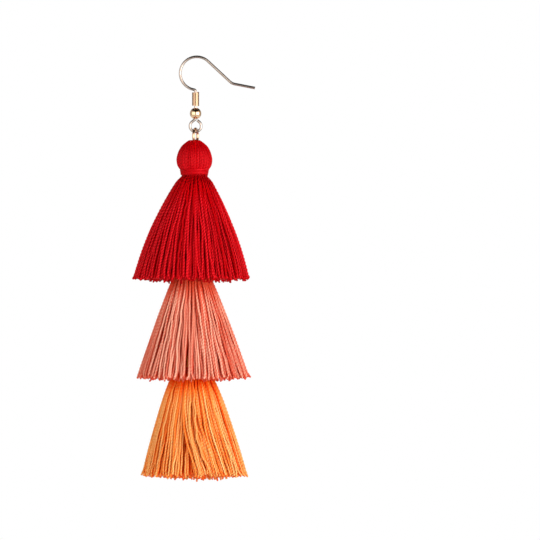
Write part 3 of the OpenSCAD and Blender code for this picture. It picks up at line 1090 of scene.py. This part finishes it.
        # Painted shade at the crown, where less light falls, with its painted highlights left out there
        lit = head.below_crown.reached(self.head_top - paths[..., 2])
        shades = np.clip(head.tone + self.rng.normal(0, head.spread, (n, 1)), 0, head.most)
        shades = shades * (head.crown_share + (1 - head.crown_share) * lit)
        threads = Strands(paths, outward, head.thread_r, head.sides, shades, crest=head.crest * lit,
                          seed=self.seed)
        return join_strands(f"{self.colour}_head", [threads, self.backing()])

    def backing(self) -> Strands:
        """Lay a plain dome under the head's threads, so that only its painted shade shows between them.

        Returns:
            The dome.
        """
        line = smooth_line(BACKING_OUTLINE, self.head.dome_rings)
        paths = np.zeros((1, len(line), 3))
        paths[0, :, 0] = self.neck[0]
        paths[0, :, 2] = self.head_top + line[:, 1]
        return Dome(paths, outward=np.array([[1.0, 0, 0]]), radius=1.0, sides=self.head.dome_sides,
                    shades=np.full((1, len(line)), self.head.dome_tone), profile=line[:, 0])

    def build_binding(self) -> bpy.types.Object:
        """Build the binding as one thread wound round the neck, turn on turn.

        Returns:
            The binding.
        """
        winding = self.winding
        foot = self.neck[2] + self.binding_gap
        height = self.binding_top - foot
        thick = height / winding.turns * winding.thick_share
        share = np.linspace(0, 1, winding.steps_a_turn * winding.turns + 1)
        angle = TURN * winding.turns * share
        radius = self.binding_r - thick - winding.taper * (1 - share)
        level = foot + thick * winding.edge + (height - 2 * winding.edge * thick) * share
        paths = np.stack([self.neck[0] + radius * np.cos(angle), radius * np.sin(angle), level],
                         axis=-1)[None]
        # Painted highlight on every other turn, to the right of its front
        caught = np.cos(angle - math.radians(winding.catch_angle))
        gain = winding.catch * np.maximum(0, caught) ** winding.catch_power
        shades = winding.tone + gain * (np.floor(share * winding.turns) % 2)
        thread = Strands(paths, np.array([[0.0, 0, 1.0]]), thick, winding.sides, shades[None],
                         twist_mm=winding.twist_mm, closed=True)
        return join_strands(f"{self.colour}_winding", [thread])

    def build(self) -> None:
        """Build and dress the whole tassel."""
        material = self.thread.value.make()
        skirt = self.build_skirt()
        head = self.build_head()
        binding = self.build_binding()
        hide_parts(f"{self.colour}_binding")
        for piece in (*skirt, head, binding):
            dress(piece, material)
            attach(piece, "drop")
            log.info("%s: %d faces", piece.name, len(piece.data.polygons))


@dataclass
class Wirework:
    """Ear wire, ball and jump ring in their CAD shapes, and a finer coil in place of the plain one."""

    coil_wire_r: float = 0.19
    coil_turns: int = 14
    # Half the height of a turn as a share of the pitch, and how square its section is pressed
    coil_fill: float = 0.49
    coil_squareness: float = 0.4
    steps_a_turn: int = 48
    sides: int = 14

    def build_coil(self) -> bpy.types.Object:
        """Build the coil as one wire, wound close where its CAD node is.

        Returns:
            The coil.
        """
        low, high = [np.array(c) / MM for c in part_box("wire_coil")]
        radius = (high[1] - low[1]) / 2 - self.coil_wire_r
        share = np.linspace(0, 1, self.coil_turns * self.steps_a_turn + 1)
        angle = TURN * self.coil_turns * share
        middle = (low[0] + high[0]) / 2
        top, foot = high[2] - self.coil_wire_r, low[2] + self.coil_wire_r
        paths = np.stack([middle + radius * np.cos(angle), radius * np.sin(angle),
                          top + (foot - top) * share], axis=-1)[None]
        pitch = (top - foot) / self.coil_turns
        wire = Strands(paths, np.array([[0.0, 0, 1.0]]), self.coil_wire_r, self.sides,
                       np.full((1, len(share)), 0.5), squash=pitch * self.coil_fill / self.coil_wire_r,
                       squareness=self.coil_squareness, closed=True)
        coil = join_strands("coil", [wire])
        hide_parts("wire_coil")
        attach(coil, "hook")
        return coil

    def build(self) -> None:
        """Dress the wirework."""
        for node, metal in (("ear_wire", Metal.WIRE), ("jump_ring", Metal.RING),
                            ("ball_bead", Metal.BALL)):
            dress(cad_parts[node], metal.value.make())
            log.info("%s: CAD shape, %s", node, metal.value.name)
        dress(self.build_coil(), Metal.COIL.value.make())
        log.info("coil: wound")


@dataclass(frozen=True)
class Lamp:
    """A soft square light that faces the middle of the earring, in metres and watts."""

    name: str
    place: tuple[float, float, float]
    power: float
    # Whether the metal mirrors it
    mirrored: bool
    width: float = 0.5
    aim: tuple[float, float, float] = (0, 0, -0.06)

    def build(self) -> None:
        """Add the light."""
        data = bpy.data.lights.new(self.name, "AREA")
        data.shape = "RECTANGLE"
        data.size, data.size_y = self.width, self.width
        data.energy = self.power
        light = bpy.data.objects.new(self.name, data)
        light.location = self.place
        light.rotation_euler = (Vector(self.aim) - Vector(self.place)).to_track_quat("-Z", "Y").to_euler()
        light.visible_glossy = self.mirrored
        bpy.context.scene.collection.objects.link(light)


class Way(Enum):
    """Directions along which the room's light fades."""

    RIGHT = "right"
    BACK = "back"
    UP = "up"
    ASIDE = "to either side"
    OVERHEAD = "up, leant a little to the back and the right"


@dataclass(frozen=True)
class Fade:
    """A smooth fade of the room's light along a direction, from where it is least to where it is most."""

    way: Way
    dark: float
    light: float
    least: float = 0.0
    most: float = 1.0


@dataclass
class Studio:
    """White studio: level camera at a long focal length, soft lights and a pale floor.

    The room that the metal mirrors has a wide low window of light in front, with a narrow dim
    strip in its middle, and pale walls under a dark ceiling.
    """

    # Width and middle of the picture at the earring, in millimetres
    picture_mm: float = 140.4
    centre: tuple[float, float] = (19.05, -55.43)
    # How far away the camera is, and how far it sees, in metres
    distance: float = 1.5
    sight: float = 20.0
    sensor_mm: float = 36.0
    # Height and radius of the floor, in metres, and its sides
    floor_z: float = -0.15
    floor_r: float = 0.3
    floor_sides: int = 96
    # Brightness of the window and of the walls
    window: float = 2.55
    walls: float = 0.5
    overhead: tuple[float, float, float] = (0.1, 0.1, 0.99)
    edges: tuple[Fade, ...] = (Fade(Way.UP, 0.5, 0.36), Fade(Way.UP, -0.55, -0.3),
                               Fade(Way.BACK, -0.05, -0.4))
    strip: Fade = Fade(Way.ASIDE, 0.12, 0.24, least=0.1)
    # The window is brighter to the right
    lean: Fade = Fade(Way.RIGHT, -1.0, 1.0, least=0.6, most=1.4)
    ceiling: Fade = Fade(Way.OVERHEAD, 0.75, 0.35, least=0.04)
    wall_foot: Fade = Fade(Way.UP, -0.9, -0.4, least=0.2)
    # In front, the strip dims the walls too
    past_strip: Fade = Fade(Way.BACK, -0.6, -0.3)
    # The wire's upper edge would mirror the back light as a row of specks, so no metal does
    lamps: tuple[Lamp, ...] = (Lamp("key", (0.85, -0.85, -0.15), 2.5, mirrored=True),
                               Lamp("back", (0.1, 0.75, 0.75), 12.0, mirrored=False))

    def build_camera(self) -> None:
        """Set up the camera, level and square on."""
        data = bpy.data.cameras.new("camera")
        data.sensor_width = self.sensor_mm
        data.lens = self.sensor_mm * self.distance / (self.picture_mm * MM)
        data.clip_end = self.sight
        camera = bpy.data.objects.new("camera", data)
        camera.location = (self.centre[0] * MM, -self.distance, self.centre[1] * MM)
        camera.rotation_euler = (math.pi / 2, 0, 0)
        bpy.context.scene.collection.objects.link(camera)
        bpy.context.scene.camera = camera

    def add_room(self, tree: bpy.types.NodeTree) -> bpy.types.Node:
        """Add the nodes that work out how bright the room is in each direction.

        Args:
            tree: The world's node tree.

        Returns:
            Node that gives the brightness.
        """
        place = add_node(tree, "TexCoord")
        split = add_node(tree, "SeparateXYZ", {0: place})
        overhead = add_node(tree, "VectorMath", {0: place, 1: self.overhead}, operation="DOT_PRODUCT")
        ways = {Way.RIGHT: split.outputs["X"], Way.BACK: split.outputs["Y"], Way.UP: split.outputs["Z"],
                Way.ASIDE: add_node(tree, "Math", {0: split.outputs["X"]}, operation="ABSOLUTE"),
                Way.OVERHEAD: overhead.outputs["Value"]}
        in_window = (*self.edges, self.strip, self.lean, self.ceiling)
        lit = {fade: add_node(tree, "MapRange", {"Value": ways[fade.way], "From Min": fade.dark,
                                                 "From Max": fade.light, "To Min": fade.least,
                                                 "To Max": fade.most}, interpolation_type="SMOOTHSTEP")
               for fade in (*in_window, self.wall_foot, self.past_strip)}
        window = lit[in_window[0]]
        for fade in in_window[1:]:
            window = add_node(tree, "Math", {0: window, 1: lit[fade]}, operation="MULTIPLY")
        clear = add_node(tree, "Math", {0: lit[self.past_strip], 1: lit[self.strip]}, operation="MAXIMUM")
        walls = lit[self.ceiling]
        for factor in (lit[self.wall_foot], clear, self.walls):
            walls = add_node(tree, "Math", {0: walls, 1: factor}, operation="MULTIPLY")
        return add_node(tree, "Math", {0: window, 1: self.window, 2: walls}, operation="MULTIPLY_ADD")

    def build_world(self) -> None:
        """Make it white behind the earring, with a room for what its metal mirrors."""
        world = bpy.data.worlds.new("studio")
        bpy.context.scene.world = world
        world.use_nodes = True
        tree = world.node_tree
        tree.nodes.clear()
        seen = add_node(tree, "LightPath")
        behind = add_node(tree, "Background", {"Color": linear("#ffffff"), "Strength": 1.0})
        room = add_node(tree, "Background", {"Color": linear("#fffaf4"), "Strength": self.add_room(tree)})
        both = add_node(tree, "MixShader", {0: seen.outputs["Is Camera Ray"], 1: room, 2: behind})
        add_node(tree, "OutputWorld", {"Surface": both})

    def build_floor(self) -> None:
        """Lay the pale floor under the earring, below the picture."""
        bpy.ops.mesh.primitive_circle_add(vertices=self.floor_sides, radius=self.floor_r,
                                          fill_type="NGON", location=(0, 0, self.floor_z))
        floor = bpy.context.object
        floor.name = "floor"
        dress(floor, MattCard().make())

    def build(self) -> None:
        """Build the studio."""
        bpy.context.scene.view_settings.view_transform = "Standard"
        self.build_camera()
        self.build_world()
        self.build_floor()
        for lamp in self.lamps:
            lamp.build()
        log.info("studio: camera, lights and floor")


def main() -> None:
    """Build the studio and dress the earring, piece by piece."""
    logging.basicConfig(level=logging.INFO, format="%(name)s: %(message)s")
    Studio().build()
    Wirework().build()
    # Two full layers close behind the outer one, then fewer strands towards the middle
    skirt_layers = [Layer(1.0, 0.5, 100, 0.75, sides=6, rings=56), Layer(1.0, 1.0, 96, 0.65, rings=30),
                    Layer(0.86, 0.6, 76, 0.4), Layer(0.72, 0.4, 60, 0.4), Layer(0.57, 0.2, 48, 0.4)]
    # The lowest skirt shows its underside, so its middle is filled too
    core_layers = [*skirt_layers, Layer(0.42, 0, 34, 0.4), Layer(0.27, 0, 20, 0.4),
                   Layer(0.12, 0, 8, 0.4)]
    # The lower two heads hang inside the skirt above, where fewer threads do
    hidden_head = Head(threads=44, rings=20)
    tassels = [
        Tassel("red", Thread.RED, power=1.0, belly=0.46, hem_shift=-0.88, seed=11, inner=skirt_layers),
        Tassel("coral", Thread.CORAL, power=0.87, belly=0.0, hem_shift=0.35, seed=23,
               inner=skirt_layers, head=hidden_head),
        Tassel("orange", Thread.ORANGE, power=0.73, belly=0.0, hem_shift=0.8, seed=37,
               inner=core_layers, parting=-107.0, head=hidden_head),
    ]
    for tassel in tassels:
        tassel.build()
    # The cord has no shade or crest values, so it takes the painted shadow colour, dark where it hides in
    # the head
    dress(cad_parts["hanging_cord"], bpy.data.materials[Thread.RED.value.name])


if __name__ == "__main__":
    main()
